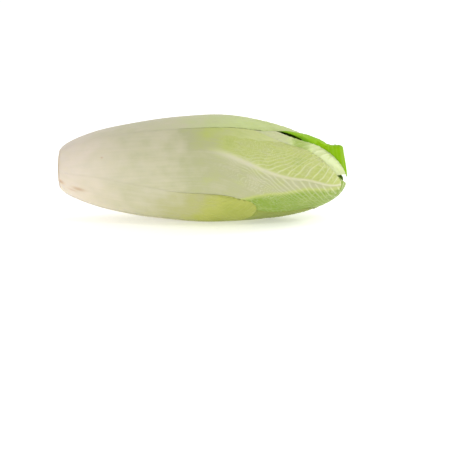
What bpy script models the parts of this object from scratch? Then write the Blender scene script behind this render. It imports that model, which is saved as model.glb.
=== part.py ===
"""Head of endive lying on its side: leaves wrapped over each other round a short turned core.

The head has coordinates of its own: x runs along the axis from the cut base to the tip, and an angle
goes round the axis, 0 at the front (-Y), 90 degrees at the top. Every leaf is one sheet in x and angle
that lies on the head's outer form, or as far under it as the leaves already laid over it need.
"""

from collections import namedtuple

import bpy
import numpy as np

MM = 0.001

# Outer form of the closed head
HEAD_LENGTH = 155 * MM
BELLY_X = 80 * MM
BELLY_RADIUS = 28.8 * MM
BASE_RADIUS = 8.8 * MM
BASE_CURVE = 1.5
BASE_FULLNESS = 1.7
TIP_FULLNESS = 1.92
DROOP_START = 85 * MM
DROOP_AT_TIP = 5.6 * MM
FLAT_DEPTH = 1.1 * MM
AXIS_HEIGHT = BELLY_RADIUS - FLAT_DEPTH
CENTRE_X = 77.6 * MM
CENTRE_Y = 0.1 * MM

# Core: radius at each station from the cut face to its point
CORE_PROFILE = [(0.0, 8.2), (0.8, 8.0), (2.5, 7.2), (7.0, 6.6), (16.0, 5.8), (26.0, 4.2), (37.0, 1.8), (42.0, 0.0)]
CORE_STEPS = 24

# Leaf thickness and the air between leaves
BASE_THICKNESS = 0.95 * MM
MARGIN_THICKNESS = 0.8 * MM
THICKENING_LENGTH = 28 * MM
LEAF_GAP = 0.5 * MM
MASK_MARGIN = np.radians(2.5)
CORE_GAP = 0.3 * MM

# Field of depths under the outer form, one cell per millimetre along and per three degrees round
FIELD_X = np.linspace(0.0, HEAD_LENGTH, 156)
FIELD_ANGLE = np.radians(np.arange(-180.0, 180.0, 3.0))
SPREAD_ALONG = 4
SPREAD_ROUND = 3
SOFTEN_ALONG = 3
SOFTEN_ROUND = 2
SPREAD_FROM = 2 * MM
SPREAD_FULL = 10 * MM

Leaf = namedtuple(
    "Leaf",
    "name start shoulder tip turn width skew blunt rib share close ridge wave cells colour",
)

# start, shoulder and tip: mm from the cut face, where the leaf begins, its rounded end begins, and ends
# turn: degrees round the axis at the base and at the tip; width: half its angle at base, middle and tip
# skew: side of the rounded end's furthest point, -1 to 1; blunt: how square the end is
# rib: thickness at the midrib, mm; share: its radius as a share of the head's; close: where its form closes, mm
# ridge: how far the midrib stands out, mm; wave: height of the margin's waves, mm; cells: along, across
LEAVES = [
    Leaf("wrapper_leaf_under", 0.5, 88, 113, (-112, -105), (46, 43, 40), 0.0, 2.2, 3.2, 1.0, 155, 0.0, 0.0,
         (16, 12), (0.72, 0.70, 0.47)),
    Leaf("crown_leaf", 0.5, 108, 131, (104, 107), (42, 46, 42), 0.0, 2.0, 3.0, 1.0, 155, 0.4, 0.2,
         (16, 12), (0.70, 0.74, 0.45)),
    Leaf("wrapper_leaf_back", 0.5, 92, 119, (176, 172), (52, 48, 44), 0.1, 2.2, 3.2, 1.0, 155, 0.3, 0.3,
         (16, 12), (0.74, 0.73, 0.52)),
    Leaf("wrapper_leaf_front", 0.5, 93, 106, (-40, -58), (34, 36, 35), 0.5, 3.2, 2.4, 1.0, 155, 0.0, 0.0,
         (16, 12), (0.74, 0.72, 0.45)),
    Leaf("main_leaf", 0.5, 131, 151.5, (32, -12), (52, 46, 60), 0.0, 2.3, 3.6, 1.0, 155, 0.8, 0.0,
         (20, 14), (0.66, 0.71, 0.42)),
    Leaf("keel_leaf", 5.0, 118, 140, (-95, -92), (55, 50, 46), 0.0, 2.2, 2.8, 1.0, 155, 0.0, 0.0,
         (16, 12), (0.45, 0.56, 0.22)),
    Leaf("shoulder_leaf", 6.0, 138, 152.5, (60, 40), (55, 40, 32), 0.0, 2.6, 2.8, 1.0, 155, 0.3, 0.0,
         (18, 10), (0.62, 0.68, 0.40)),
    Leaf("frill_leaf", 9.0, 131, 155.2, (122, 130), (60, 56, 58), 0.4, 2.2, 2.4, 1.0, 155, 0.0, 1.0,
         (20, 16), (0.30, 0.55, 0.03)),
    Leaf("rear_leaf", 9.0, 128, 153.5, (190, 192), (60, 56, 56), 0.0, 2.2, 3.0, 1.0, 155, 0.3, 0.0,
         (16, 12), (0.48, 0.62, 0.24)),
    Leaf("chin_leaf", 11.0, 130, 154, (-58, -62), (60, 58, 62), 0.0, 2.3, 2.8, 1.0, 155, 0.0, 0.0,
         (16, 12), (0.60, 0.70, 0.36)),
    Leaf("heart_leaf_1", 14.0, 118, 150, (100, 90), (80, 84, 80), 0.0, 2.2, 2.8, 0.80, 152.5, 0.0, 0.0,
         (12, 8), (0.74, 0.76, 0.45)),
    Leaf("heart_leaf_2", 17.0, 116, 148, (-50, -60), (85, 88, 84), 0.0, 2.2, 2.6, 0.64, 151, 0.0, 0.0,
         (12, 8), (0.76, 0.77, 0.45)),
    Leaf("heart_leaf_3", 20.0, 112, 144, (170, 175), (90, 95, 90), 0.0, 2.2, 2.4, 0.47, 148, 0.0, 0.0,
         (12, 8), (0.78, 0.78, 0.46)),
    Leaf("heart_leaf_4", 24.0, 104, 139, (20, 20), (110, 125, 120), 0.0, 2.2, 2.0, 0.29, 143, 0.0, 0.0,
         (12, 10), (0.80, 0.79, 0.48)),
]
MIDDLE_SHARE = 0.6
CROWDING = 0.075
RING_WIDTH = np.radians(32)
RING_FROM = 1.0 * MM
RING_TO = 9.0 * MM
TURN_FROM = 55 * MM

# The frill leaf keeps on straight where the others close over the tip
FLARE_LEAF = "frill_leaf"
FLARE_START = 125 * MM
FLARE_SLOPE = -0.24
FLARE_ANGLES = (66, 92)
WAVE_LENGTH = 15 * MM


def clear_scene():
    """Remove every object of the start-up scene."""
    for item in list(bpy.data.objects):
        bpy.data.objects.remove(item, do_unlink=True)


def smoothstep(low, high, value):
    """Rise softly from 0 to 1 as the value goes from low to high."""
    share = np.clip((value - low) / (high - low), 0.0, 1.0)
    return share * share * (3.0 - 2.0 * share)


def droop(x):
    """Height that the axis loses towards the tip."""
    share = np.clip((x - DROOP_START) / (HEAD_LENGTH - DROOP_START), 0.0, 1.0)
    return DROOP_AT_TIP * share * share


def form_radius(x):
    """Radius of the closed head: two rounded halves that meet at the belly."""
    behind = np.clip((BELLY_X - x) / BELLY_X, 0.0, 1.0)
    ahead = np.clip((x - BELLY_X) / (HEAD_LENGTH - BELLY_X), 0.0, 1.0)
    base_half = BASE_RADIUS + (BELLY_RADIUS - BASE_RADIUS) * (1.0 - behind ** BASE_CURVE) ** (1.0 / BASE_FULLNESS)
    tip_half = BELLY_RADIUS * (1.0 - ahead ** TIP_FULLNESS) ** (1.0 / TIP_FULLNESS)
    return np.where(x < BELLY_X, base_half, tip_half)


def outer_radius(x, angle):
    """Radius of the outer form, cut flat where the head rests on the surface."""
    below = np.maximum(-np.sin(angle), 0.05)
    return np.minimum(form_radius(x), (AXIS_HEIGHT - droop(x)) / below)


def core_radius(x):
    """Radius of the core at a distance from the cut face."""
    stations = [station * MM for station, _ in CORE_PROFILE]
    radii = [radius * MM for _, radius in CORE_PROFILE]
    return np.interp(x, stations, radii)


def wrapped(angle):
    """The same angle between minus and plus half a turn."""
    return (angle + np.pi) % (2.0 * np.pi) - np.pi


def leaf_turn(leaf, x):
    """Angle of the leaf's midrib, which swings over from its base to its tip."""
    base, tip = np.radians(leaf.turn)
    return base + (tip - base) * smoothstep(TURN_FROM, 150 * MM, x)


def leaf_width(leaf, x):
    """Half angle of the leaf: base, middle and tip eased into each other, side by side at the cut face."""
    base, middle, tip = np.radians(leaf.width)
    middle_x = leaf.tip * MIDDLE_SHARE * MM
    near = base + (middle - base) * smoothstep(leaf.start * MM, middle_x, x)
    width = near + (tip - middle) * smoothstep(middle_x, leaf.tip * MM, x)
    if leaf.start > RING_FROM / MM:
        return width
    return RING_WIDTH + (width - RING_WIDTH) * smoothstep(RING_FROM, RING_TO, x)


def leaf_end(leaf, across):
    """Distance of the rounded end from the cut face, across the leaf from -1 to 1."""
    side = np.where(across > leaf.skew, 1.0 - leaf.skew, 1.0 + leaf.skew)
    away = np.clip(np.abs(across - leaf.skew) / side, 0.0, 1.0)
    return (leaf.shoulder + (leaf.tip - leaf.shoulder) * (1.0 - away ** leaf.blunt) ** 0.6) * MM


def leaf_thickness(leaf, x, across):
    """Thickness: thin at the base and the margins, full along the midrib, thin again at the end."""
    grown = smoothstep(leaf.start * MM, leaf.start * MM + THICKENING_LENGTH, x)
    ending = smoothstep(leaf.tip * MM, (leaf.shoulder - 25) * MM, x)
    rib = BASE_THICKNESS + (leaf.rib * MM - BASE_THICKNESS) * grown * ending
    inward = 1.0 - np.abs(across) ** 1.6
    return MARGIN_THICKNESS + (np.maximum(rib, MARGIN_THICKNESS) - MARGIN_THICKNESS) * inward


def sample(field, x, angle):
    """Value of a field at any x and angle, by straight blending between its cells."""
    along = np.clip(x / HEAD_LENGTH, 0.0, 1.0) * (len(FIELD_X) - 1)
    turns = len(FIELD_ANGLE)
    around = (wrapped(angle) + np.pi) / (2.0 * np.pi) * turns
    i = np.minimum(along.astype(int), len(FIELD_X) - 2)
    j = around.astype(int) % turns
    p = along - i
    q = around - np.floor(around)
    near = field[i, j] * (1.0 - q) + field[i, (j + 1) % turns] * q
    far = field[i + 1, j] * (1.0 - q) + field[i + 1, (j + 1) % turns] * q
    return near * (1.0 - p) + far * p


def shifted(field, along, around):
    """The field moved by whole cells, its ends repeated and its turn closed."""
    rows = np.clip(np.arange(field.shape[0]) + along, 0, field.shape[0] - 1)
    return np.roll(field[rows], around, axis=1)


def eased(depth):
    """Depth that is never less than the given one and has no steps: spread, then softened, but not at the base."""
    plain = depth
    for reach in range(1, SPREAD_ALONG + SOFTEN_ALONG + 1):
        depth = np.maximum(depth, np.maximum(shifted(depth, 1, 0), shifted(depth, -1, 0)))
    for reach in range(1, SPREAD_ROUND + SOFTEN_ROUND + 1):
        depth = np.maximum(depth, np.maximum(shifted(depth, 0, 1), shifted(depth, 0, -1)))
    along = [shifted(depth, step, 0) for step in range(-SOFTEN_ALONG, SOFTEN_ALONG + 1)]
    depth = sum(along) / len(along)
    around = [shifted(depth, 0, step) for step in range(-SOFTEN_ROUND, SOFTEN_ROUND + 1)]
    held = smoothstep(SPREAD_FROM, SPREAD_FULL, FIELD_X)[:, None]
    return plain * (1.0 - held) + sum(around) / len(around) * held


def flare(leaf, x, angle):
    """How far the frill leaf stands out of the form where it runs on straight past the tip."""
    if leaf.name != FLARE_LEAF:
        return np.zeros_like(x)
    straight = form_radius(np.array(FLARE_START)) + FLARE_SLOPE * (x - FLARE_START)
    low, high = np.radians(FLARE_ANGLES)
    opened = smoothstep(low, high, wrapped(angle) % (2.0 * np.pi))
    return np.where(x > FLARE_START, np.maximum(straight - form_radius(x), 0.0), 0.0) * opened


def outside_of(leaf, under, x, angle, across, along):
    """Radius of the leaf's outer face, with its midrib ridge and its waved margin."""
    depth = sample(under, x, angle)
    free = np.clip(1.0 - depth / (0.5 * MM), 0.0, 1.0)
    ridge = leaf.ridge * MM * np.exp(-(across / 0.16) ** 2) * smoothstep(55 * MM, 95 * MM, x)
    ridge = ridge * smoothstep(leaf.tip * MM, leaf.tip * MM - 25 * MM, x)
    edge = np.maximum(smoothstep(0.55, 1.0, np.abs(across)), smoothstep(0.8, 1.0, along))
    run = x + 0.6 * BELLY_RADIUS * across
    wave = leaf.wave * MM * edge * (0.5 + 0.5 * np.sin(2.0 * np.pi * run / WAVE_LENGTH))
    wave = wave * smoothstep(60 * MM, 100 * MM, x)
    return outer_radius(x, angle) - depth + free * (ridge + wave) + flare(leaf, x, angle)


def steepness(radius, x_step):
    """Ratio of radial to true thickness on a surface that rises along x."""
    slope = np.gradient(radius, x_step, axis=0)
    return np.sqrt(1.0 + np.minimum(slope * slope, 8.0))


def first_clear_start(leaf, under):
    """First station from the leaf's own start where its base clears the core all the way round."""
    for station in np.arange(leaf.start, leaf.start + 30.0, 0.5):
        across = np.linspace(-1.0, 1.0, 25)
        x = np.full_like(across, station * MM)
        angle = leaf_turn(leaf, x) + leaf_width(leaf, x) * across
        inner = outer_radius(x, angle) - sample(under, x, angle) - 1.6 * BASE_THICKNESS
        if (inner - core_radius(x) > CORE_GAP).all():
            return leaf._replace(start=float(station))
    raise ValueError("no room for " + leaf.name)


def head_point(x, angle, radius):
    """Position in the head's coordinates."""
    return np.stack([x, -radius * np.cos(angle), radius * np.sin(angle) - droop(x)], axis=-1)


def leaf_material(name, colour):
    """Plain glossy leaf material in its own colour."""
    material = bpy.data.materials.new(name)
    material.use_nodes = True
    shader = material.node_tree.nodes["Principled BSDF"]
    shader.inputs["Base Color"].default_value = (*colour, 1.0)
    shader.inputs["Roughness"].default_value = 0.42
    shader.inputs["Metallic"].default_value = 0.0
    return material


def leaf_sheet(leaf, under):
    """One leaf: a grid laid on the form by formula, cut in triangles, then given its thickness."""
    cells_along, cells_across = leaf.cells
    bpy.ops.mesh.primitive_grid_add(x_subdivisions=cells_along, y_subdivisions=cells_across, size=2)
    sheet = bpy.context.object
    sheet.name = leaf.name
    mesh = sheet.data
    flat = np.empty(len(mesh.vertices) * 3)
    mesh.vertices.foreach_get("co", flat)
    flat = flat.reshape(-1, 3)
    along = (flat[:, 0] + 1.0) / 2.0
    along = along - CROWDING * np.sin(2.0 * np.pi * along)
    across = np.sin(flat[:, 1] * 0.42 * np.pi) / np.sin(0.42 * np.pi)
    x = leaf.start * MM + (leaf_end(leaf, across) - leaf.start * MM) * along
    angle = leaf_turn(leaf, x) + leaf_width(leaf, x) * across
    radius = outside_of(leaf, under, x, angle, across, along)
    mesh.vertices.foreach_set("co", head_point(x, angle, radius).ravel())
    thickness = leaf_thickness(leaf, x, across)
    group = sheet.vertex_groups.new(name="thickness")
    for index, share in enumerate(thickness / (leaf.rib * MM)):
        group.add([index], float(min(share, 1.0)), "REPLACE")
    mesh.update()
    triangles = sheet.modifiers.new("triangles", "TRIANGULATE")
    triangles.quad_method = "FIXED"
    body = sheet.modifiers.new("body", "SOLIDIFY")
    body.thickness = leaf.rib * MM
    body.offset = -1.0
    body.use_even_offset = True
    body.use_quality_normals = True
    body.vertex_group = "thickness"
    mesh.shade_smooth()
    mesh.materials.append(leaf_material(leaf.name, leaf.colour))
    return sheet


def depth_under(leaf, under, depth):
    """Depth field for the next leaves: under this leaf's inner face, over a cell beyond its margins."""
    x, angle = np.meshgrid(FIELD_X, FIELD_ANGLE, indexing="ij")
    width = leaf_width(leaf, x)
    across = wrapped(angle - leaf_turn(leaf, x)) / width
    inside = np.abs(across) <= 1.0 + MASK_MARGIN / width
    held = np.clip(across, -1.0, 1.0)
    ends = leaf_end(leaf, held)
    inside = inside & (x >= leaf.start * MM - 1 * MM) & (x <= ends + 1 * MM)
    along = np.clip((x - leaf.start * MM) / (ends - leaf.start * MM), 0.0, 1.0)
    outside = outside_of(leaf, under, x, angle, held, along)
    sheet_depth = (leaf_thickness(leaf, x, held) + LEAF_GAP) * steepness(outside, FIELD_X[1])
    reached = outer_radius(x, angle) - outside + sheet_depth
    return np.where(inside, np.maximum(depth, reached), depth)


def make_core():
    """The stump: its half profile turned about the head's axis."""
    points = [(radius * MM, 0.0, station * MM) for station, radius in reversed(CORE_PROFILE)]
    points.append((0.0, 0.0, 0.0))
    mesh = bpy.data.meshes.new("core")
    mesh.from_pydata(points, [(i, i + 1) for i in range(len(points) - 1)], [])
    core = bpy.data.objects.new("core", mesh)
    turn = core.modifiers.new("turned", "SCREW")
    turn.axis = "Z"
    turn.steps = CORE_STEPS
    turn.render_steps = CORE_STEPS
    turn.use_merge_vertices = True
    turn.merge_threshold = 0.00005
    mesh.materials.append(leaf_material("core", (0.74, 0.66, 0.50)))
    core.rotation_euler = (0.0, np.pi / 2.0, 0.0)
    return core


def build():
    """Make the core and the leaves, outermost first, and place them under one empty."""
    clear_scene()
    family = bpy.data.collections.new("endive_head")
    bpy.context.scene.collection.children.link(family)
    axis = bpy.data.objects.new("head_axis", None)
    axis.location = (-CENTRE_X, -CENTRE_Y, AXIS_HEIGHT)
    family.objects.link(axis)
    core = make_core()
    family.objects.link(core)
    core.parent = axis
    depth = np.zeros((len(FIELD_X), len(FIELD_ANGLE)))
    for drawn in LEAVES:
        x, _ = np.meshgrid(FIELD_X, FIELD_ANGLE, indexing="ij")
        own_radius = drawn.share * form_radius(np.minimum(x * HEAD_LENGTH / (drawn.close * MM), HEAD_LENGTH))
        sunk = (form_radius(x) - own_radius) * smoothstep(10 * MM, 50 * MM, x)
        under = np.maximum(eased(depth), sunk)
        leaf = first_clear_start(drawn, under)
        sheet = leaf_sheet(leaf, under)
        for holder in list(sheet.users_collection):
            holder.objects.unlink(sheet)
        family.objects.link(sheet)
        sheet.parent = axis
        depth = depth_under(leaf, under, depth)
        print(leaf.name, "starts", leaf.start, "deepest", round(float(under.max()) / MM, 2))


build()
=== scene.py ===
# %% [markdown]
# # A head of endive, dressed for its photograph
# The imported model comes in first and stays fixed. It gives every leaf its place, and each leaf is then
# replaced by a finer one of the same form: a curved sheet with its midrib, its veins and its thin margin.

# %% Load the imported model
from collections import namedtuple

import bpy
import numpy as np
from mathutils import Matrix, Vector


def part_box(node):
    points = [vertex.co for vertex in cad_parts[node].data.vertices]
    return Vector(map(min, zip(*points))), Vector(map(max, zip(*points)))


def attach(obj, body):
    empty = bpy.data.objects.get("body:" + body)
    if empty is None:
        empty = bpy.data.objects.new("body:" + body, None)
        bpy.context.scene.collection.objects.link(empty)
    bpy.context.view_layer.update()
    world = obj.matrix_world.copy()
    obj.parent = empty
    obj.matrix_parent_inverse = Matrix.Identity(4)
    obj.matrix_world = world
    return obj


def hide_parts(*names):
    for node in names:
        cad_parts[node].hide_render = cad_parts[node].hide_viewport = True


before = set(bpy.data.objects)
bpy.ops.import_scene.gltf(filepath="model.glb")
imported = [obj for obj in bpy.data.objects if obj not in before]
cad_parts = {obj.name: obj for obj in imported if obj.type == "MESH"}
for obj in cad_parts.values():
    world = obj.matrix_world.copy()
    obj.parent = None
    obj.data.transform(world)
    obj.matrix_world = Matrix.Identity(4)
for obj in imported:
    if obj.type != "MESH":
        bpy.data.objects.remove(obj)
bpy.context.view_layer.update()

# %% [markdown]
# ## Where the head lies
# The core is a turned piece, so its box says where the head's axis runs: through the box's middle. Every
# point of a leaf is then three numbers: the distance x from the cut face, the angle round the axis, 0 at
# the front and 90 degrees at the top, and the radius.

# %% Axis of the head, from the core
MM = 0.001
core_low, core_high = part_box("core")
CUT_X = core_low[0]
AXIS_Y = (core_low[1] + core_high[1]) / 2.0
AXIS_HEIGHT = (core_low[2] + core_high[2]) / 2.0
CORE_LENGTH = core_high[0] - core_low[0]
HEAD_LENGTH = 155 * MM
BELLY_X = 80 * MM
BELLY_RADIUS = 28.8 * MM
BASE_RADIUS = 8.8 * MM
DROOP_START = 85 * MM
DROOP_AT_TIP = 5.6 * MM
print("axis height, mm:", round(AXIS_HEIGHT / MM, 2))


# %% [markdown]
# ## The form that the leaves lie on
# A chicon is a spindle: it swells fast from the cut, is fullest just past its middle and closes in a round
# point that sags a little. Two rounded curves that meet at the belly say this better than a drawn outline,
# because every leaf, however deep, can then be measured down from the same form.

# %% Outer form
def smoothstep(low, high, value):
    """Rise softly from 0 to 1 as the value goes from low to high."""
    share = np.clip((value - low) / (high - low), 0.0, 1.0)
    return share * share * (3.0 - 2.0 * share)


def curve(points, at):
    """Soft curve through points: cubic pieces that share the slope of their neighbours at every point."""
    x, y = np.transpose(points)
    slope = np.gradient(y, x)
    i = np.clip(np.searchsorted(x, at) - 1, 0, len(x) - 2)
    span = x[i + 1] - x[i]
    t = np.clip((at - x[i]) / span, 0.0, 1.0)
    start = (1.0 + 2.0 * t) * (1.0 - t) ** 2 * y[i] + t * (1.0 - t) ** 2 * span * slope[i]
    end = t * t * (3.0 - 2.0 * t) * y[i + 1] - t * t * (1.0 - t) * span * slope[i + 1]
    return start + end


def droop(x):
    """Height that the axis loses towards the tip: a square law past the start of the droop."""
    share = np.clip((x - DROOP_START) / (HEAD_LENGTH - DROOP_START), 0.0, 1.0)
    return DROOP_AT_TIP * share * share


def form_radius(x):
    """Radius of the closed head: a power curve on each side of the belly, down to the base and to the tip."""
    behind = np.clip((BELLY_X - x) / BELLY_X, 0.0, 1.0)
    ahead = np.clip((x - BELLY_X) / (HEAD_LENGTH - BELLY_X), 0.0, 1.0)
    base_half = BASE_RADIUS + (BELLY_RADIUS - BASE_RADIUS) * (1.0 - behind ** 1.5) ** (1.0 / 1.8)
    tip_half = BELLY_RADIUS * (1.0 - ahead ** 1.92) ** (1.0 / 1.92)
    return np.where(x < BELLY_X, base_half, tip_half)


def outer_radius(x, angle):
    """The form's radius, cut off flat by the surface that the head rests on."""
    below = np.maximum(-np.sin(angle), 0.05)
    return np.minimum(form_radius(x), (AXIS_HEIGHT - droop(x)) / below)


def head_point(x, angle, radius):
    """Place in the model: x along the head, the angle turned from the front over the top."""
    return np.stack(
        [CUT_X + x, AXIS_Y - radius * np.cos(angle), AXIS_HEIGHT + radius * np.sin(angle) - droop(x)], axis=-1
    )


print("radius at the belly, mm:", round(float(form_radius(np.array(BELLY_X))) / MM, 2))


# %% [markdown]
# ## The leaves
# Fourteen leaves make the head. Each one has a start near the cut, a rounded end, an angle for its midrib
# that may swing over towards the tip, and a width as an angle. They are listed from the outermost inwards,
# which is also the order in which they overlap.

# %% Leaf table
Leaf = namedtuple("Leaf", "name slot start shoulder tip turn lean width skew blunt rib share close ridge edge wave grid")
LEAVES = [
    Leaf("wrapper_leaf_under", "pale_leaf", 0.5, 88, 113, (-112, -105, -105), 0, (46, 46, 40), 0.0, 2.2,
         3.2, 1.0, 155, 0.2, 0.15, 0.2, (200, 110)),
    Leaf("crown_leaf", "yellow_green_leaf", 0.5, 108, 131, (104, 107, 107), 0, (42, 45, 42), 0.0, 2.0,
         3.0, 1.0, 155, 0.3, 0.3, 0.25, (220, 120)),
    Leaf("wrapper_leaf_back", "pale_leaf", 0.5, 92, 119, (176, 172, 172), 0, (52, 48, 44), 0.1, 2.2,
         3.2, 1.0, 155, 0.6, 0.3, 0.5, (200, 110)),
    Leaf("wrapper_leaf_front", "pale_leaf", 0.5, 80, 106, (-40, -58, -58), -13, (38, 36, 36), 0.5, 2.2,
         2.4, 1.0, 155, 0.0, 0.25, 0.05, (200, 120)),
    Leaf("main_leaf", "yellow_green_leaf", 0.5, 131, 151.5, (30, 1, -15), -5, (52, 50, 60), 0.1, 2.3,
         3.6, 1.0, 155, 1.0, 0.25, 0.15, (305, 158)),
    Leaf("keel_leaf", "green_leaf", 5.0, 118, 140, (-95, -92, -92), 0, (55, 50, 46), 0.0, 2.2,
         2.8, 1.0, 155, 0.3, 0.3, 0.3, (180, 100)),
    Leaf("shoulder_leaf", "yellow_green_leaf", 6.0, 138, 154, (60, 38, 45), 0, (55, 25, 40), 0.0, 2.6,
         2.8, 1.0, 155, 0.1, 0.2, 0.2, (240, 90)),
    Leaf("frill_leaf", "green_leaf", 9.0, 131, 155.2, (122, 128, 128), 0, (60, 58, 84), 0.0, 2.2,
         2.4, 1.0, 155, 0.3, 0.35, 0.7, (260, 170)),
    Leaf("rear_leaf", "green_leaf", 11.5, 128, 153.5, (190, 192, 192), 0, (60, 56, 56), 0.0, 2.2,
         3.0, 1.0, 155, 0.5, 0.35, 0.5, (190, 110)),
    Leaf("chin_leaf", "yellow_green_leaf", 13.0, 134, 154.3, (-58, -50, -38), 0, (60, 64, 74), 0.0, 3.0,
         2.8, 1.0, 155, 0.2, 0.2, 0.2, (220, 120)),
    Leaf("heart_leaf_1", "pale_leaf", 16.5, 118, 150, (100, 90, 90), 0, (80, 84, 80), 0.0, 2.2,
         2.8, 0.80, 152.5, 0.0, 0.3, 0.6, (120, 70)),
    Leaf("heart_leaf_2", "pale_leaf", 18.5, 116, 148, (-50, -60, -60), 0, (85, 88, 84), 0.0, 2.2,
         2.6, 0.64, 151, 0.0, 0.3, 0.6, (110, 60)),
    Leaf("heart_leaf_3", "pale_leaf", 22.0, 112, 144, (170, 175, 175), 0, (90, 95, 90), 0.0, 2.2,
         2.4, 0.47, 148, 0.0, 0.3, 0.4, (100, 60)),
    Leaf("heart_leaf_4", "pale_leaf", 28.0, 104, 139, (20, 20, 20), 0, (110, 125, 120), 0.0, 2.2,
         2.0, 0.29, 143, 0.0, 0.3, 0.3, (100, 60)),
]

# Ends that no rounded formula gives: share of the width, and how far the leaf reaches there, mm
DRAWN_ENDS = {
    "wrapper_leaf_front": [(-1, 62), (-0.6, 86), (-0.2, 97.5), (0.1, 102), (0.4, 105), (0.65, 106), (0.85, 104.5),
                           (0.95, 101), (1, 94)],
    "frill_leaf": [(-1, 150), (-0.9, 153), (-0.74, 155.2), (-0.62, 154.3), (-0.48, 152), (-0.34, 150.7), (-0.22, 149),
                   (0, 151), (0.25, 148.5), (0.5, 150.5), (0.75, 146), (1, 134)],
}
print(len(LEAVES), "leaves")

# %% [markdown]
# ## Turn, width, end and thickness of a leaf
# A leaf is flat only on paper. Here its outline is drawn in x and angle: two sides that keep their angle
# from the rib, and a rounded end that says how far each strip of the leaf reaches. The thickness follows
# the real one, with several millimetres at the rib and a margin like paper.

# %% Leaf outline and thickness
SWING = (75 * MM, 130 * MM, 155 * MM)
RING_WIDTH = np.radians(38)
RING_FROM = 1.0 * MM
RING_TO = 9.0 * MM
BASE_THICKNESS = 0.95 * MM
BLADE_THICKNESS = 0.8 * MM
BASE_EDGE = 0.02 * MM
THICKENING_LENGTH = 28 * MM


def leaf_turn(leaf, x):
    """Angle of the midrib: it stays, swings over between two stations, and swings on to the tip."""
    base, middle, tip = np.radians(leaf.turn)
    return base + (middle - base) * smoothstep(SWING[0], SWING[1], x) + (tip - middle) * smoothstep(*SWING[1:], x)


def leaf_centre(leaf, x):
    """Angle halfway between the margins: the midrib's, and off it by the lean once past the base."""
    return leaf_turn(leaf, x) + np.radians(leaf.lean) * smoothstep(RING_TO, SWING[0], x)


def leaf_width(leaf, x):
    """Half angle of the leaf: base, middle and tip eased into each other, nearly side by side at the cut face."""
    base, middle, tip = np.radians(leaf.width)
    near = base + (middle - base) * smoothstep(leaf.start * MM, 0.6 * leaf.tip * MM, x)
    width = near + (tip - middle) * smoothstep(0.8 * leaf.tip * MM, leaf.tip * MM, x)
    if leaf.start > RING_FROM / MM:
        return width
    return RING_WIDTH + (width - RING_WIDTH) * smoothstep(RING_FROM, RING_TO, x)


def leaf_end(leaf, across):
    """How far the leaf reaches, for each share of its width: a rounded curve from the shoulder to the tip."""
    if leaf.name in DRAWN_ENDS:
        return curve(DRAWN_ENDS[leaf.name], across) * MM
    side = np.where(across > leaf.skew, 1.0 - leaf.skew, 1.0 + leaf.skew)
    away = np.clip(np.abs(across - leaf.skew) / side, 0.0, 1.0)
    return (leaf.shoulder + (leaf.tip - leaf.shoulder) * (1.0 - away ** leaf.blunt) ** 0.6) * MM


def leaf_thickness(leaf, x, across, along):
    """Full along the rib, thin in the blade, and drawn out to an edge that is finest low on the leaf."""
    grown = smoothstep(leaf.start * MM, leaf.start * MM + THICKENING_LENGTH, x)
    ending = smoothstep(leaf.tip * MM, (leaf.shoulder - 25) * MM, x)
    rib = np.maximum(BASE_THICKNESS + (leaf.rib * MM - BASE_THICKNESS) * grown * ending, BLADE_THICKNESS)
    body = BLADE_THICKNESS + (rib - BLADE_THICKNESS) * (1.0 - np.abs(across) ** 1.6)
    edge = BASE_EDGE + (leaf.edge * MM - BASE_EDGE) * smoothstep(62 * MM, 98 * MM, x)
    rim = smoothstep(1.0, 0.72, np.abs(across)) * smoothstep(1.0, 0.955, along)
    return edge + (body - edge) * rim


# %% [markdown]
# ## Noise that bends and never jumps
# Real leaves are nowhere quite even. A few broad waves with seeded directions and phases, added up, give a
# swell that is the same on every run and has no grain of its own.

# %% Soft noise
def soft_noise(seed, size, *places):
    """Between -1 and 1: the mean of twelve waves of about the given length, in seeded directions and phases."""
    draw = np.random.default_rng(seed)
    total = 0.0
    for _ in range(12):
        direction = draw.normal(size=len(places))
        direction = direction / np.linalg.norm(direction) * draw.uniform(0.6, 1.5) * 2.0 * np.pi / size
        phase = draw.uniform(0.0, 2.0 * np.pi)
        total = total + np.sin(sum(d * p for d, p in zip(direction, places)) + phase)
    return total / 5.0


print("noise at one place:", round(float(soft_noise(1, 10 * MM, np.array(0.02), np.array(0.0))), 3))


# %% [markdown]
# ## Veins
# From the midrib, side veins run forwards: nearly along the rib low on the leaf, and at a wide angle near
# the tip. If the tangent of that angle is summed along the rib, a side vein becomes the line where this sum
# less the distance from the rib is constant, so one array gives every vein of the leaf at once.

# %% Vein field
VEIN_ANGLES = [(0, 3), (0.35, 6), (0.53, 12), (0.68, 24), (0.78, 37), (0.86, 50), (0.95, 59), (1, 62)]
VEIN_SPACING = [(0, 8), (0.5, 7), (0.75, 5.2), (0.9, 4.3), (1, 3.6)]
VEIN_STATIONS = np.linspace(-0.05, 0.175, 1200)

# Breadth of the pale band below the midrib of the main leaf: distance from the cut, breadth, both in mm
PALE_BAND = [(60, 40), (80, 32), (103, 17), (112, 11.5), (122, 7.5), (135, 3.9), (143, 1.8), (150, 0.6), (156, 0.3)]


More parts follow.
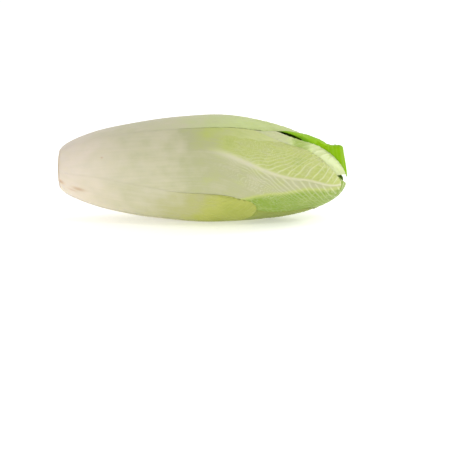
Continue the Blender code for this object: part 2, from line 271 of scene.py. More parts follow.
def vein_distance(leaf, seed, x, aside):
    """Distance to the nearest side vein, in metres, from the vein sum and its inverse."""
    share = np.clip(VEIN_STATIONS / (leaf.tip * MM), 0.0, 1.0)
    slope = np.tan(np.radians(np.interp(share, *zip(*VEIN_ANGLES))))
    spacing = np.interp(share, *zip(*VEIN_SPACING)) * MM
    step = VEIN_STATIONS[1] - VEIN_STATIONS[0]
    climb = np.cumsum(slope) * step
    count = np.cumsum(1.0 / spacing) * step
    away = np.abs(aside)
    bent = away * (1.0 + away / (45 * MM)) + 0.9 * MM * soft_noise(seed, 14 * MM, x, aside)
    bent = bent + 0.25 * MM * soft_noise(seed + 1, 5 * MM, x, aside)
    root = np.interp(np.interp(x, VEIN_STATIONS, climb) - bent, climb, VEIN_STATIONS)
    number = np.interp(root, VEIN_STATIONS, count) + np.where(aside > 0.0, 0.0, 0.45)
    nearest = np.abs(number - np.round(number))
    gap = np.interp(root, VEIN_STATIONS, spacing) * np.sin(np.arctan(np.interp(x, VEIN_STATIONS, slope)))
    return nearest * np.maximum(gap, 0.6 * MM)


def vein_strength(leaf, seed, x, aside):
    """1 on a side vein, falling off to its sides; finer towards the margin, fainter low on the leaf."""
    away = np.abs(aside)
    fine = (0.42 - 0.16 * smoothstep(0.0, 22 * MM, away)) * MM
    line = np.exp(-((vein_distance(leaf, seed, x, aside) / fine) ** 2))
    grown = smoothstep(0.5, 0.8, x / (leaf.tip * MM))
    return line * grown * (1.0 - 0.6 * smoothstep(10 * MM, 26 * MM, away)) * smoothstep(0.0, 2 * MM, away)


# %% [markdown]
# ## Leaves laid over leaves
# The outermost leaf lies on the form. Every further one has to stay under the inner faces of those before
# it, so a field of depths, one cell per half millimetre and per degree and a half, remembers how deep the
# form is taken. Spread and softened, it lets a leaf rise back to the form just past the margin over it.

# %% Depth field
FIELD_X = np.linspace(0.0, HEAD_LENGTH, 311)
FIELD_ANGLE = np.radians(np.arange(-180.0, 180.0, 1.5))
LEAF_GAP = 0.02 * MM
UNCOVERED = -30 * MM
RELEASE_FROM = 0.25 * MM
RELEASE_SLOPE = 0.9


def wrapped(angle):
    """The same angle between minus and plus half a turn."""
    return (angle + np.pi) % (2.0 * np.pi) - np.pi


def sample(field, x, angle):
    """Value of a field at any x and angle: the four cells around the place, weighed by nearness."""
    along = np.clip(x / HEAD_LENGTH, 0.0, 1.0) * (len(FIELD_X) - 1)
    turns = len(FIELD_ANGLE)
    around = (wrapped(angle) + np.pi) / (2.0 * np.pi) * turns
    i = np.minimum(along.astype(int), len(FIELD_X) - 2)
    j = around.astype(int) % turns
    p = along - i
    q = around - np.floor(around)
    near = field[i, j] * (1.0 - q) + field[i, (j + 1) % turns] * q
    far = field[i + 1, j] * (1.0 - q) + field[i + 1, (j + 1) % turns] * q
    return near * (1.0 - p) + far * p


def shifted(field, along, around):
    """The field moved by whole cells, its ends repeated and its turn closed."""
    rows = np.clip(np.arange(field.shape[0]) + along, 0, field.shape[0] - 1)
    return np.roll(field[rows], around, axis=1)


def softened(depth):
    """Mean of each cell and its neighbours, along and then around, but never less than the given depth."""
    mean = depth
    for along, around in ((0, 1), (1, 0)):
        mean = (shifted(mean, along, around) + 2.0 * mean + shifted(mean, -along, -around)) / 4.0
    return np.maximum(depth, mean)


def soft_least(a, b, softness=0.12 * MM):
    """The smaller of two lengths, rounded where they cross: their mean less half of their softened difference."""
    return (a + b - np.sqrt((a - b) ** 2 + softness ** 2)) / 2.0


def steepness(radius):
    """Radial over true thickness on a surface that climbs along x."""
    slope = np.gradient(radius, FIELD_X[1], axis=0)
    return np.sqrt(1.0 + np.minimum(slope * slope, 8.0))


# %% [markdown]
# ## Relief of a leaf
# On the outside of a leaf the veins stand out and the blade between them lies back. The midrib is a broad
# swell that narrows to a line at the tip. Relief only ever adds to the leaf, and only where no other leaf
# lies over it and it doesn't touch the surface below.

# %% Leaf relief
FLARE_LEAF = "frill_leaf"
WAVE_LENGTH = 11 * MM
VEIN_HEIGHT = 0.22 * MM
NET_HEIGHT = 0.14 * MM
NET_CELL = 2.3 * MM


def rib_line(leaf, x, aside, low, high):
    """1 on the midrib, falling off to its sides: of the low width below the middle, of the high one at the tip."""
    wide = (low + (high - low) * smoothstep(0.5, 0.9, x / (leaf.tip * MM))) * MM
    return np.exp(-((aside / wide) ** 2))


def cell_net(seed, size, x, aside):
    """1 on the borders of a net, 0 inside its cells: how much nearer the nearest of many scattered points is
    than the second nearest. The points are one for each cell of a square lattice, each moved at random."""
    scatter = np.random.default_rng(seed).uniform(0.12, 0.88, size=(97, 89, 2))
    u = (x - 0.7 * np.abs(aside)) / (1.25 * size)
    v = aside / size
    i, j = np.floor(u).astype(int), np.floor(v).astype(int)
    nearest = np.full(np.shape(u), 9.0)
    second = nearest
    for across in (-1, 0, 1):
        for up in (-1, 0, 1):
            point = scatter[(i + across) % 97, (j + up) % 89]
            away = np.hypot(u - i - across - point[..., 0], v - j - up - point[..., 1])
            second = np.minimum(second, np.maximum(nearest, away))
            nearest = np.minimum(nearest, away)
    return np.exp(-(((second - nearest) / 0.16) ** 2))


def blade_share(leaf, x, aside):
    """1 on the green blade and 0 on the rib and the pale band beside it, softly between."""
    if leaf.name != "main_leaf":
        return smoothstep(1.0 * MM, 4.0 * MM, np.abs(aside))
    band = curve(PALE_BAND, x / MM) * MM
    return np.where(aside > 0.0, smoothstep(0.3 * MM, 2.5 * MM, aside), smoothstep(-0.5 * MM, 3.0 * MM, -aside - band))


def net_strength(leaf, seed, x, aside):
    """The net of fine veins: between the side veins of the green blade, bent so that no line is straight."""
    bent_x = x + 0.5 * MM * soft_noise(seed + 3, 6 * MM, x, aside)
    bent_aside = aside + 0.5 * MM * soft_noise(seed + 4, 6 * MM, x, aside)
    grown = smoothstep(0.52, 0.68, x / (leaf.tip * MM)) * blade_share(leaf, x, aside)
    patchy = 0.65 + 0.35 * soft_noise(seed + 6, 10 * MM, x, aside)
    return np.clip(cell_net(seed + 5, NET_CELL, bent_x, bent_aside) * grown * patchy, 0.0, 1.0)


def flare(leaf, x, angle):
    """How far the frill leaf stands out of the form past the tips of the others, and less at its back."""
    if leaf.name != FLARE_LEAF:
        return np.zeros_like(x)
    stand = 2.4 * MM * smoothstep(125 * MM, 145 * MM, x) + 10.0 * MM * smoothstep(143 * MM, 157 * MM, x)
    turned = np.degrees(angle) % 360.0
    opened = smoothstep(50.0, 70.0, turned) * (0.4 + 0.6 * smoothstep(160.0, 105.0, turned))
    return stand * opened * smoothstep(212.0, 180.0, turned)


def margin_wave(leaf, seed, x, across, along):
    """Outward waves of the margin and the end, that die out towards the middle of the leaf."""
    edge = np.maximum(smoothstep(0.6, 1.0, np.abs(across)), smoothstep(0.85, 1.0, along))
    wave = 0.5 + 0.5 * soft_noise(seed + 40, WAVE_LENGTH, x, BELLY_RADIUS * across)
    return leaf.wave * MM * edge * wave * smoothstep(70 * MM, 105 * MM, x)


def head_swell(x, angle):
    """Slow swell and long flutes of the whole head: the same for all leaves, so that their faces stay flush."""
    front, up = BELLY_RADIUS * np.cos(angle), BELLY_RADIUS * np.sin(angle)
    swell = 0.14 * MM * (1.0 + soft_noise(11, 26 * MM, x, front, up))
    flutes = 0.07 * MM * (1.0 + soft_noise(12, 9 * MM, x * 0.1, front, up))
    return (swell + flutes) * smoothstep(0.0, 25 * MM, x)


def leaf_relief(leaf, seed, x, angle, aside, across, along):
    """Ridge of the midrib, side veins and net, and the margin's waves, added up on the head's own swell."""
    ridge = leaf.ridge * MM * rib_line(leaf, x, aside, 4.2, 0.7) * smoothstep(60 * MM, 95 * MM, x)
    ridge = ridge * smoothstep(leaf.tip * MM, leaf.tip * MM - 12 * MM, x)
    veins = VEIN_HEIGHT * vein_strength(leaf, seed, x, aside) + NET_HEIGHT * net_strength(leaf, seed, x, aside)
    return ridge + veins + head_swell(x, angle) + margin_wave(leaf, seed, x, across, along)


def leaf_radius(leaf, seed, under, x, angle, aside, across, along):
    """Radius of the outer face: the form with the leaf's relief, but never above the inner faces over it."""
    plain = outer_radius(x, angle)
    height = AXIS_HEIGHT + plain * np.sin(angle) - droop(x)
    lifted = smoothstep(0.2 * MM, 2.5 * MM, height)
    free = leaf_relief(leaf, seed, x, angle, aside, across, along) * lifted + flare(leaf, x, angle)
    return plain + soft_least(free, -sample(under, x, angle))


# %% [markdown]
# ## From arrays to a closed mesh
# A leaf has two faces, the outer grid and the same grid moved inwards along its normals by the thickness,
# and a rim that joins their borders. The faces are worked out as index arrays and handed over in one go.

# %% Mesh from two grids
def grid_normals(points):
    """Unit normals of a grid of points, from the cross product of its two directions."""
    normal = np.cross(np.gradient(points, axis=0), np.gradient(points, axis=1))
    return normal / np.maximum(np.linalg.norm(normal, axis=-1, keepdims=True), 1e-12)


def shell_faces(rows, columns):
    """Corner indices of the quads of the outer grid, the inner grid turned over, and the rim between them."""
    index = np.arange(rows * columns).reshape(rows, columns)
    outer = np.stack([index[:-1, :-1], index[1:, :-1], index[1:, 1:], index[:-1, 1:]], axis=-1).reshape(-1, 4)
    inner = outer[:, ::-1] + rows * columns
    border = np.concatenate([index[0, :-1], index[:-1, -1], index[-1, :0:-1], index[:0:-1, 0]])
    following = np.roll(border, -1)
    rim = np.stack([border, following, following + rows * columns, border + rows * columns], axis=-1)
    return np.concatenate([outer, inner, rim])


def mesh_object(name, points, quads, uv=None, fields=None):
    """Mesh object from arrays: points, quads, a UV place for each point and named values for each point."""
    mesh = bpy.data.meshes.new(name)
    mesh.vertices.add(len(points))
    mesh.vertices.foreach_set("co", points.ravel())
    mesh.loops.add(quads.size)
    mesh.loops.foreach_set("vertex_index", quads.ravel())
    mesh.polygons.add(len(quads))
    mesh.polygons.foreach_set("loop_start", np.arange(0, quads.size, 4))
    mesh.update(calc_edges=True)
    mesh.shade_smooth()
    if uv is not None:
        layer = mesh.uv_layers.new(name="leaf_place")
        layer.data.foreach_set("uv", uv[quads.ravel()].ravel())
    for label, values in (fields or {}).items():
        attribute = mesh.attributes.new(label, "FLOAT", "POINT")
        attribute.data.foreach_set("value", values.ravel())
    mesh.validate()
    piece = bpy.data.objects.new(name, mesh)
    bpy.context.scene.collection.objects.link(piece)
    return piece


# %% [markdown]
# ## Colour as ripeness
# Where light never reached, a leaf is cream and ivory. Towards its margin and its tip it turns yellow-green
# and green. One number for each point, its tone, says how far that has gone, and a colour ramp in the
# material turns tone into colour.

# %% Tone of a leaf
def tone_main(x, aside, angle):
    """Ivory low down. Above the rib yellow-green, below it a pale band that narrows to the tip, and then green."""
    above = 0.18 * smoothstep(65 * MM, 105 * MM, x + 0.9 * aside)
    band = curve(PALE_BAND, x / MM) * MM
    green = 0.42 * smoothstep(-1.0 * MM, 3.5 * MM, -aside - band)
    side = smoothstep(-0.8 * MM, 1.2 * MM, aside)
    return 0.3 * smoothstep(0.0, 48 * MM, x) + 0.12 * smoothstep(52 * MM, 80 * MM, x) + above * side + green * (1.0 - side)


def tone_front(x, aside, angle):
    """Ivory, then yellow-green towards the end and the lower margin."""
    lower = x - 0.6 * (aside - 6 * MM)
    return 0.3 * smoothstep(0.0, 45 * MM, x) + 0.16 * smoothstep(45 * MM, 72 * MM, lower) + 0.3 * smoothstep(
        68 * MM, 100 * MM, lower)


def tone_outer(x, aside, angle):
    """Ivory, with a yellow-green cast towards the margins and the end."""
    return 0.3 * smoothstep(0.0, 45 * MM, x) + 0.4 * smoothstep(60 * MM, 125 * MM, x + 0.6 * np.abs(aside))


def tone_shoulder(x, aside, angle):
    """A pale band under the crown, with one green place where it narrows towards the tip, and paler again past it: a
    painted highlight.
    """
    # Past 131 mm the green is taken back towards pale as a painted highlight.
    green = smoothstep(121 * MM, 128 * MM, x) * (1.0 - 0.75 * smoothstep(131 * MM, 138 * MM, x))
    return 0.3 * smoothstep(0.0, 45 * MM, x) + 0.15 * smoothstep(70 * MM, 100 * MM, x) + 0.45 * green


def tone_frill(x, aside, angle):
    """Green all over, yellowest at the lobes, and darkened by painted shade where the leaf comes out from under its
    neighbours.
    """
    # Painted shade: a darker green along the crease where the frill dips under its neighbours' margins.
    crease_painted_shade = smoothstep(76.0, 66.0, np.degrees(angle) % 360.0) * smoothstep(152 * MM, 140 * MM, x)
    return 0.3 * smoothstep(0.0, 40 * MM, x) + 0.35 * smoothstep(70 * MM, 115 * MM, x) + 0.3 * crease_painted_shade


def tone_blade(x, aside, angle):
    """Ivory base, then green across the whole blade."""
    return 0.3 * smoothstep(0.0, 40 * MM, x) + 0.6 * smoothstep(70 * MM, 125 * MM, x + 0.9 * np.abs(aside))


# Marks of handling: x in mm, angle in degrees, half length and half breadth in mm, strength
MARKS = [(11.5, -29, 3.2, 1.1, 0.6), (8.0, -36, 2.4, 0.7, 0.4), (1.6, -26, 1.8, 1.2, 0.7), (24.4, 26, 0.5, 0.4, 0.7),
         (18.0, 118, 4.0, 1.2, 0.5), (2.0, 150, 2.0, 1.5, 0.6), (14.0, -150, 3.0, 1.0, 0.5)]


def stain(x, angle):
    """Browned places: the trimmed edge, and the marks as soft ellipses on the form."""
    browned = 0.55 * smoothstep(1.6 * MM, 0.3 * MM, x)
    for mark_x, mark_angle, length, breadth, strength in MARKS:
        off = wrapped(angle - np.radians(mark_angle)) * form_radius(x) / (breadth * MM)
        browned = np.maximum(browned, strength * np.exp(-(((x - mark_x * MM) / (length * MM)) ** 2) - off ** 2))
    return browned


TONES = {
    "main_leaf": tone_main,
    "wrapper_leaf_front": tone_front,
    "wrapper_leaf_under": tone_outer,
    "wrapper_leaf_back": tone_outer,
    "crown_leaf": tone_outer,
    "shoulder_leaf": tone_shoulder,
    "frill_leaf": tone_frill,
}

# %% Build one leaf
UV_SPAN = 160 * MM


def build_leaf(leaf, seed, under):
    """One leaf as a closed shell, with its UV place in leaf millimetres and its tone, vein and rib values."""
    rows, columns = leaf.grid[0] + 1, leaf.grid[1] + 1
    run, side = np.meshgrid(np.linspace(0.0, 1.0, rows), np.linspace(-1.0, 1.0, columns), indexing="ij")
    along = 1.0 - (1.0 - run) ** 1.45
    across = np.sin(side * 0.49 * np.pi) / np.sin(0.49 * np.pi)
    x = leaf.start * MM + (leaf_end(leaf, across) - leaf.start * MM) * along
    ragged = 1.0 + 0.012 * soft_noise(seed + 20, 9 * MM, x, across * 20 * MM) * smoothstep(70 * MM, 100 * MM, x)
    angle = leaf_centre(leaf, x) + leaf_width(leaf, x) * across * ragged
    aside = (angle - leaf_turn(leaf, x)) * form_radius(x)
    radius = leaf_radius(leaf, seed, under, x, angle, aside, across, along)
    outer = head_point(x, angle, radius)
    thickness = leaf_thickness(leaf, x, across, along)
    inner = outer - grid_normals(outer) * thickness[..., None]
    points = np.concatenate([outer.reshape(-1, 3), inner.reshape(-1, 3)])
    place = np.stack([x / UV_SPAN, aside / UV_SPAN + 0.5], axis=-1).reshape(-1, 2)
    tone = TONES.get(leaf.name, tone_blade)(x, aside, angle) + 0.03 * soft_noise(seed + 30, 12 * MM, x, aside)
    fields = {
        "tone": tone,
        "vein": vein_strength(leaf, seed, x, aside),
        "net": net_strength(leaf, seed, x, aside),
        # rib: where the midrib's own pale cream and a painted highlight along its ridge are laid on
        "rib": rib_line(leaf, x, aside, 2.0, 0.5) * smoothstep(0.5, 0.62, x / (leaf.tip * MM)) * min(leaf.ridge, 1.0),
        "stain": stain(x, angle),
        "body": smoothstep(0.1 * MM, 0.9 * MM, thickness),
    }
    fields = {label: np.concatenate([values.ravel(), values.ravel()]) for label, values in fields.items()}
    return mesh_object(leaf.name + "_fine", points, shell_faces(rows, columns), np.concatenate([place, place]), fields)


def depth_under(leaf, seed, under, depth):
    """The depth field with this leaf added: down to its inner face, and released on a slope past its margins."""
    x, angle = np.meshgrid(FIELD_X, FIELD_ANGLE, indexing="ij")
    width = leaf_width(leaf, x)
    across = wrapped(angle - leaf_centre(leaf, x)) / width
    held = np.clip(across, -1.0, 1.0)
    ends = leaf_end(leaf, held)
    along = np.clip((x - leaf.start * MM) / (ends - leaf.start * MM), 0.0, 1.0)
    aside = (leaf_centre(leaf, x) + held * width - leaf_turn(leaf, x)) * form_radius(x)
    outside = leaf_radius(leaf, seed, under, x, angle, aside, held, along)
    sheet = (leaf_thickness(leaf, x, held, along) + LEAF_GAP) * steepness(outside)
    reached = outer_radius(x, angle) - outside + sheet
    past_side = np.maximum(np.abs(across) - 1.0, 0.0) * width * form_radius(x)
    past_end = np.maximum(x - ends, 0.0) + np.maximum(leaf.start * MM - x, 0.0)
    past = np.maximum(np.hypot(past_side, past_end) - RELEASE_FROM, 0.0)
    return np.maximum(depth, reached - RELEASE_SLOPE * past)


# %% Build all leaves, outermost first
leaf_pieces = {}
depth = np.full((len(FIELD_X), len(FIELD_ANGLE)), UNCOVERED)
for number, leaf in enumerate(LEAVES):
    under = softened(depth)
    if leaf.share < 1.0:
        own = leaf.share * form_radius(np.minimum(FIELD_X * HEAD_LENGTH / (leaf.close * MM), HEAD_LENGTH))
        sunk = (form_radius(FIELD_X) - own) * smoothstep(10 * MM, 50 * MM, FIELD_X)
        under = np.maximum(under, sunk[:, None])
    leaf_pieces[leaf.name] = build_leaf(leaf, 100 * number + 7, under)
    depth = depth_under(leaf, 100 * number + 7, under, depth)
    print(leaf.name, len(leaf_pieces[leaf.name].data.polygons), "quads")

# %% [markdown]
# ## The cut stump
# The root was trimmed off with a knife. What shows is a round face, a little dished and darker in rings,
# with a rounded rim. It is a profile turned about the axis, as the real one is a solid of turning.

# %% Core
CORE_PROFILE = [(0.0, 8.2), (0.8, 8.0), (2.5, 7.2), (7.0, 6.6), (16.0, 5.8), (26.0, 4.2), (37.0, 1.8), (42.0, 0.02)]
CORE_SIDES = 96


def build_core():
    """The stump: rings of points along the profile, from the middle of the cut face to the point inside."""
    face = np.linspace(0.01, 0.94, 16)[:, None] * [[0.0, CORE_PROFILE[0][1]]]
    stations = np.concatenate([[0.0, 0.06, 0.3], np.linspace(0.8, 42.0, 60)])
    rim = np.interp(stations, [p[0] for p in CORE_PROFILE], [p[1] for p in CORE_PROFILE])
    rim = rim - np.array([0.28, 0.1, 0.0] + [0.0] * 60)
    profile = np.concatenate([face, np.stack([stations, rim], axis=-1)]) * MM
    turn = np.linspace(0.0, 2.0 * np.pi, CORE_SIDES, endpoint=False)
    x = np.repeat(profile[:, :1], CORE_SIDES, axis=1)
    angle = np.repeat(turn[None, :], len(profile), axis=0)
    radius = np.repeat(profile[:, 1:], CORE_SIDES, axis=1)
    uneven = 0.05 * MM * (1.0 + soft_noise(5, 5 * MM, radius * np.cos(angle), radius * np.sin(angle)))
    x = x + np.where(x < 0.05 * MM, uneven, 0.0)
    points = np.stack([CUT_X + x, AXIS_Y - radius * np.cos(angle), AXIS_HEIGHT + radius * np.sin(angle)], axis=-1)
    index = np.arange(points[..., 0].size).reshape(points.shape[:2])
    after = np.roll(index, -1, axis=1)
    quads = np.stack([index[:-1], index[1:], after[1:], after[:-1]], axis=-1).reshape(-1, 4)
    half = CORE_SIDES // 2
    ends = []
    for ring, way in ((index[0], 1), (index[-1], -1)):
        strip = np.stack([ring[: half - 1], ring[1:half], ring[::-1][: half - 1], np.roll(ring[::-1], 1)[: half - 1]])
        ends.append(strip)
    return points, quads, index


core_points, core_quads, core_index = build_core()
core_mesh = bpy.data.meshes.new("core_fine")
core_faces = [tuple(q) for q in core_quads.tolist()]
core_faces.append(tuple(core_index[0].tolist()))
core_faces.append(tuple(core_index[-1][::-1].tolist()))
core_mesh.from_pydata(core_points.reshape(-1, 3).tolist(), [], core_faces)
core_mesh.shade_smooth()
core_piece = bpy.data.objects.new("core_fine", core_mesh)
bpy.context.scene.collection.objects.link(core_piece)
print("core:", len(core_faces), "faces")


# %% [markdown]
# ## Materials
# A leaf is wet tissue under a thin wax: light goes in, scatters and comes out a little further on, and the
# wax gives a soft gloss. So the shader scatters under the surface, and its roughness changes in soft patches.

# %% Node and colour helpers
def linear(code, alpha=1.0):
    """Linear colour of a hex sRGB code: each channel through the sRGB curve."""
    channels = [int(code[i:i + 2], 16) / 255.0 for i in (1, 3, 5)]
    return (*[c / 12.92 if c <= 0.04045 else ((c + 0.055) / 1.055) ** 2.4 for c in channels], alpha)


def add_node(tree, kind, sockets=None, **settings):
    """A node with its settings; each entry of sockets is a value, or another node's output to link."""
    node = tree.nodes.new(kind)
    for name, value in settings.items():
        setattr(node, name, value)
    for name, value in (sockets or {}).items():
        if isinstance(value, bpy.types.NodeSocket):
            tree.links.new(value, node.inputs[name])
        else:
            node.inputs[name].default_value = value
    return node


def new_material(name):
    """An empty material and its tree, with the output and the Principled shader joined."""
    material = bpy.data.materials.new(name)
    material.use_nodes = True
    tree = material.node_tree
    tree.nodes.clear()
    shader = add_node(tree, "ShaderNodeBsdfPrincipled")
    add_node(tree, "ShaderNodeOutputMaterial", {"Surface": shader.outputs["BSDF"]})
    return material, tree, shader


# %% Leaf material
FLECK_CELL = 0.55


def leaf_material(name, tones, vein_colour, rib_and_highlight_colour, scatter, veining, netting, sheen=0.5):
    """Waxy leaf: tone ramp, veins and a pale rib with a painted highlight laid over it, a net of fine veins, streaks
    along the leaf.
    """
    material, tree, shader = new_material(name)
    place = add_node(tree, "ShaderNodeUVMap", uv_map="leaf_place")
    span = UV_SPAN / MM
    in_mm = add_node(tree, "ShaderNodeMapping", {"Vector": place.outputs["UV"], "Scale": (span, span, 1.0)})
    tone = add_node(tree, "ShaderNodeAttribute", attribute_name="tone")
    vein = add_node(tree, "ShaderNodeAttribute", attribute_name="vein")
    rib = add_node(tree, "ShaderNodeAttribute", attribute_name="rib")

    # Streaks that run along the leaf: about 1.4 mm apart and some 25 mm long
    stretched = add_node(tree, "ShaderNodeMapping", {"Vector": in_mm.outputs["Vector"], "Scale": (0.04, 0.7, 1.0)})
    streak = add_node(tree, "ShaderNodeTexNoise", {"Vector": stretched.outputs["Vector"], "Scale": 1.0, "Detail": 4.0})
    # Mottling about 6 mm across
    mottle = add_node(tree, "ShaderNodeTexNoise", {"Vector": in_mm.outputs["Vector"], "Scale": 0.16, "Detail": 3.0})
    streaked = add_node(tree, "ShaderNodeMath", {0: streak.outputs["Fac"], 1: 0.14, 2: -0.07}, operation="MULTIPLY_ADD")
    mottled = add_node(tree, "ShaderNodeMath", {0: mottle.outputs["Fac"], 1: 0.16, 2: -0.08}, operation="MULTIPLY_ADD")
    varied = add_node(tree, "ShaderNodeMath", {0: tone.outputs["Fac"], 1: streaked.outputs[0]}, operation="ADD")
    varied = add_node(tree, "ShaderNodeMath", {0: varied.outputs[0], 1: mottled.outputs[0]}, operation="ADD")
    ramp = add_node(tree, "ShaderNodeValToRGB", {"Fac": varied.outputs[0]})
    ramp.color_ramp.interpolation = "LINEAR"
    while len(ramp.color_ramp.elements) < len(tones):
        ramp.color_ramp.elements.new(0.5)
    for element, (position, code) in zip(ramp.color_ramp.elements, tones):
        element.position = position
        element.color = linear(code)

    net = add_node(tree, "ShaderNodeAttribute", attribute_name="net")
    netted = add_node(tree, "ShaderNodeMath", {0: net.outputs["Fac"], 1: netting}, operation="MULTIPLY")
    veined = add_node(tree, "ShaderNodeMath", {0: vein.outputs["Fac"], 1: veining}, operation="MULTIPLY")
    lined = add_node(tree, "ShaderNodeMath", {0: veined.outputs[0], 1: netted.outputs[0]}, operation="MAXIMUM")
    with_veins = add_node(tree, "ShaderNodeMix", {0: lined.outputs[0], 6: ramp.outputs["Color"], 7: linear(vein_colour)},
                          data_type="RGBA")
    # The rib's colour is the midrib's own pale cream, brightened into a painted highlight along its ridge.
    rib_and_highlight_share = add_node(tree, "ShaderNodeMath", {0: rib.outputs["Fac"], 1: 0.6}, operation="MULTIPLY")
    with_rib_and_highlight = add_node(tree, "ShaderNodeMix", {0: rib_and_highlight_share.outputs[0], 6: with_veins.outputs[2], 7: linear(rib_and_highlight_colour)},
                        data_type="RGBA")
    stained = add_node(tree, "ShaderNodeAttribute", attribute_name="stain")
    with_stain = add_node(tree, "ShaderNodeMix", {0: stained.outputs["Fac"], 6: with_rib_and_highlight.outputs[2],
                                                  7: linear("#BE9468")}, data_type="RGBA")
    tree.links.new(with_stain.outputs[2], shader.inputs["Base Color"])

    # Surface: the skin's cells stand out by some hundredths of a millimetre
    skin = add_node(tree, "ShaderNodeTexNoise", {"Vector": in_mm.outputs["Vector"], "Scale": 1.0 / FLECK_CELL,
                                                 "Detail": 3.0})
    bump = add_node(tree, "ShaderNodeBump", {"Height": skin.outputs["Fac"], "Strength": 0.4, "Distance": 0.1 * MM})
    tree.links.new(bump.outputs["Normal"], shader.inputs["Normal"])
    gloss = add_node(tree, "ShaderNodeMapRange", {"Value": mottle.outputs["Fac"], "To Min": 0.34, "To Max": 0.5})
    tree.links.new(gloss.outputs[0], shader.inputs["Roughness"])
    shader.inputs["IOR"].default_value = 1.42
    shader.inputs["Specular IOR Level"].default_value = sheen
    body = add_node(tree, "ShaderNodeAttribute", attribute_name="body")
    scattered = add_node(tree, "ShaderNodeMath", {0: body.outputs["Fac"], 1: scatter}, operation="MULTIPLY")
    tree.links.new(scattered.outputs[0], shader.inputs["Subsurface Weight"])
    shader.inputs["Subsurface Radius"].default_value = (1.0, 0.9, 0.35)
    shader.inputs["Subsurface Scale"].default_value = 1.6 * MM
    return material


PALE_TONES = [(0.0, "#E5D8C5"), (0.3, "#CAC6A7"), (0.5, "#BFC28C"), (0.75, "#B3BB66")]
FRONT_TONES = [(0.0, "#E5D8C5"), (0.3, "#CAC6A7"), (0.46, "#B9B882"), (0.62, "#B7BB5E"), (0.78, "#AAB14F")]
MAIN_TONES = [(0.0, "#E2D6C4"), (0.3, "#CAC6A6"), (0.42, "#B8B98E"), (0.6, "#BBC470"), (0.85, "#8AA43A")]
CROWN_TONES = [(0.0, "#E2D6C4"), (0.3, "#CAC6A6"), (0.5, "#C4CC92"), (0.65, "#C8D590"), (0.95, "#98B044")]
GREEN_TONES = [(0.0, "#E0D6C0"), (0.3, "#C8C99A"), (0.6, "#A2B850"), (0.9, "#749820")]
# Frill: its last stop, the darkest green, is reached only through the painted shade in its tone.
FRILL_TONES = [(0.0, "#E0D6C0"), (0.3, "#C8C99A"), (0.65, "#8CBC04"), (0.95, "#5E9208")]
KEEL_TONES = [(0.0, "#E0D6C0"), (0.3, "#C8C99A"), (0.6, "#98A24B"), (0.9, "#8A9638")]

LEAF_MATERIALS = {
    "pale": leaf_material("waxy_leaf_pale", PALE_TONES, "#DADCB0", "#E0DCC0", 0.25, 0.3, 0.15),
    "front": leaf_material("waxy_leaf_front", FRONT_TONES, "#CED08C", "#B9B882", 0.25, 0.1, 0.1),
    "main": leaf_material("waxy_leaf_main", MAIN_TONES, "#E6E8C2", "#E4E0C4", 0.25, 0.5, 0.28),
    "crown": leaf_material("waxy_leaf_crown", CROWN_TONES, "#D8E0B4", "#CDD6A4", 0.25, 0.2, 0.12),
    "green": leaf_material("waxy_leaf_green", GREEN_TONES, "#C8D890", "#D6DEB0", 0.3, 0.5, 0.3),
    "frill": leaf_material("thin_leaf_frill", FRILL_TONES, "#A6CC30", "#B4D64C", 0.4, 0.4, 0.2, 0.1),
    "keel": leaf_material("waxy_leaf_keel", KEEL_TONES, "#BCC474", "#C8CC90", 0.25, 0.3, 0.2),
}
MATERIAL_OF = {
    "wrapper_leaf_under": "pale",
    "crown_leaf": "crown",
    "wrapper_leaf_back": "pale",
    "wrapper_leaf_front": "front",
    "main_leaf": "main",
    "keel_leaf": "keel",
    "shoulder_leaf": "crown",
    "frill_leaf": "frill",
    "rear_leaf": "green",
    "chin_leaf": "main",
}
for leaf in LEAVES:
    leaf_pieces[leaf.name].data.materials.append(LEAF_MATERIALS[MATERIAL_OF.get(leaf.name, "main")])
print(len(LEAF_MATERIALS), "leaf materials")

# %% Stump material
stump, stump_tree, stump_shader = new_material("dried_cut_stump")
stump_place = add_node(stump_tree, "ShaderNodeTexCoord")
centred = add_node(stump_tree, "ShaderNodeMapping", {"Vector": stump_place.outputs["Object"],
                                                     "Location": (0.0, -AXIS_Y / MM, -AXIS_HEIGHT / MM),
                                                     "Scale": (1.0 / MM, 1.0 / MM, 1.0 / MM)})
# Growth rings about 1.6 mm apart round the axis
rings = add_node(stump_tree, "ShaderNodeTexWave", {"Vector": centred.outputs["Vector"], "Scale": 0.1,
                                                   "Distortion": 3.0, "Detail": 3.0, "Detail Scale": 0.4},
                 wave_type="RINGS", rings_direction="X")
stump_ramp = add_node(stump_tree, "ShaderNodeValToRGB", {"Fac": rings.outputs["Fac"]})
stump_ramp.color_ramp.elements[0].color = linear("#B99A6C")
stump_ramp.color_ramp.elements[1].color = linear("#E2D2B0")
pits = add_node(stump_tree, "ShaderNodeTexNoise", {"Vector": centred.outputs["Vector"], "Scale": 1.4, "Detail": 4.0})
stump_bump = add_node(stump_tree, "ShaderNodeBump", {"Height": pits.outputs["Fac"], "Strength": 0.6,
                                                     "Distance": 0.25 * MM})
stump_tree.links.new(stump_ramp.outputs["Color"], stump_shader.inputs["Base Color"])
stump_tree.links.new(stump_bump.outputs["Normal"], stump_shader.inputs["Normal"])
stump_shader.inputs["Roughness"].default_value = 0.75
core_piece.data.materials.append(stump)
print("stump material ready")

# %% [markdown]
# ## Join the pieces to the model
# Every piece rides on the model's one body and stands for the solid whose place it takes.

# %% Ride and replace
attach(core_piece, "root")
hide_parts("core")
for leaf in LEAVES:
    piece = leaf_pieces[leaf.name]
    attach(piece, "root")
    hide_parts(leaf.name)

# %% [markdown]
# ## Floor, light and camera
# The photograph is high-key: a white ground, light from everywhere and only faint shade. A white world with
# two large soft lights gives that, one from the left front and one from the right above the tip.

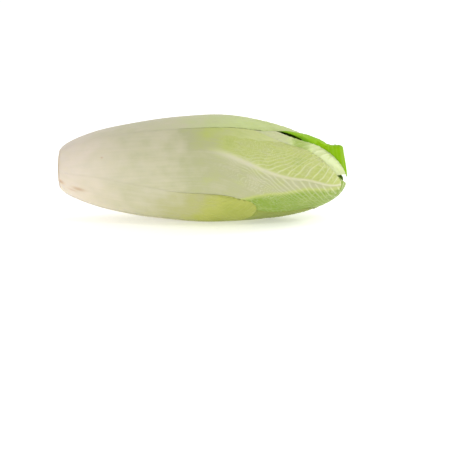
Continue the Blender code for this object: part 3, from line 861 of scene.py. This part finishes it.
# %% Floor
floor_mesh = bpy.data.meshes.new("floor")
FLOOR_HALF = 3.0
floor_mesh.from_pydata([(-FLOOR_HALF, -FLOOR_HALF, 0), (FLOOR_HALF, -FLOOR_HALF, 0), (FLOOR_HALF, FLOOR_HALF, 0),
                        (-FLOOR_HALF, FLOOR_HALF, 0)], [], [(0, 1, 2, 3)])
floor = bpy.data.objects.new("floor", floor_mesh)
floor.location.z = -0.0002
bpy.context.scene.collection.objects.link(floor)
floor_paint, floor_tree, floor_shader = new_material("white_paper_floor")
floor_shader.inputs["Base Color"].default_value = linear("#F7F7F5")
floor_shader.inputs["Roughness"].default_value = 0.9
floor_shader.inputs["Emission Color"].default_value = linear("#FFFFFF")
floor_shader.inputs["Emission Strength"].default_value = 0.36
floor.data.materials.append(floor_paint)

# %% Light
world = bpy.data.worlds.new("white_studio")
world.use_nodes = True
world.node_tree.nodes["Background"].inputs["Color"].default_value = linear("#FFFFFF")
world.node_tree.nodes["Background"].inputs["Strength"].default_value = 0.72
bpy.context.scene.world = world


def soft_light(name, place, target, size, power):
    """A large square light at a place, turned towards the target."""
    lamp = bpy.data.lights.new(name, "AREA")
    lamp.size = size
    lamp.energy = power
    light = bpy.data.objects.new(name, lamp)
    light.location = place
    light.rotation_euler = (Vector(target) - Vector(place)).to_track_quat("-Z", "Y").to_euler()
    bpy.context.scene.collection.objects.link(light)
    return light


soft_light("left_front", (-0.8, -0.9, 0.2), (-0.05, 0.0, 0.03), 0.6, 2.0)
soft_light("right_above", (0.5, -0.45, 0.6), (0.06, 0.0, 0.03), 0.12, 0.9)
soft_light("right_behind", (0.75, 0.35, 0.42), (0.06, 0.0, 0.03), 0.3, 3.0)

# %% Camera
FRAME_PIXELS = 454
MM_PER_PIXEL = 0.5386
LENS = 150.0
SENSOR = 36.0
PITCH = np.radians(12.0)
HEAD_PIXEL = (203.2, 168.5)
camera_data = bpy.data.cameras.new("camera")
camera_data.lens = LENS
camera_data.sensor_width = SENSOR
camera = bpy.data.objects.new("camera", camera_data)
bpy.context.scene.collection.objects.link(camera)
bpy.context.scene.camera = camera
distance = FRAME_PIXELS * MM_PER_PIXEL * MM * LENS / SENSOR
towards_camera = Vector((0.0, -np.cos(PITCH), np.sin(PITCH)))
picture_up = Vector((0.0, np.sin(PITCH), np.cos(PITCH)))
head_middle = Vector((0.0, 0.0, AXIS_HEIGHT))
right = (FRAME_PIXELS / 2.0 - HEAD_PIXEL[0]) * MM_PER_PIXEL * MM
down = (FRAME_PIXELS / 2.0 - HEAD_PIXEL[1]) * MM_PER_PIXEL * MM
aim = head_middle + Vector((right, 0.0, 0.0)) - picture_up * down
camera.location = aim + towards_camera * distance
camera.rotation_euler = (-towards_camera).to_track_quat("-Z", "Y").to_euler()
bpy.context.scene.view_settings.view_transform = "Standard"
print("camera distance, m:", round(distance, 3))
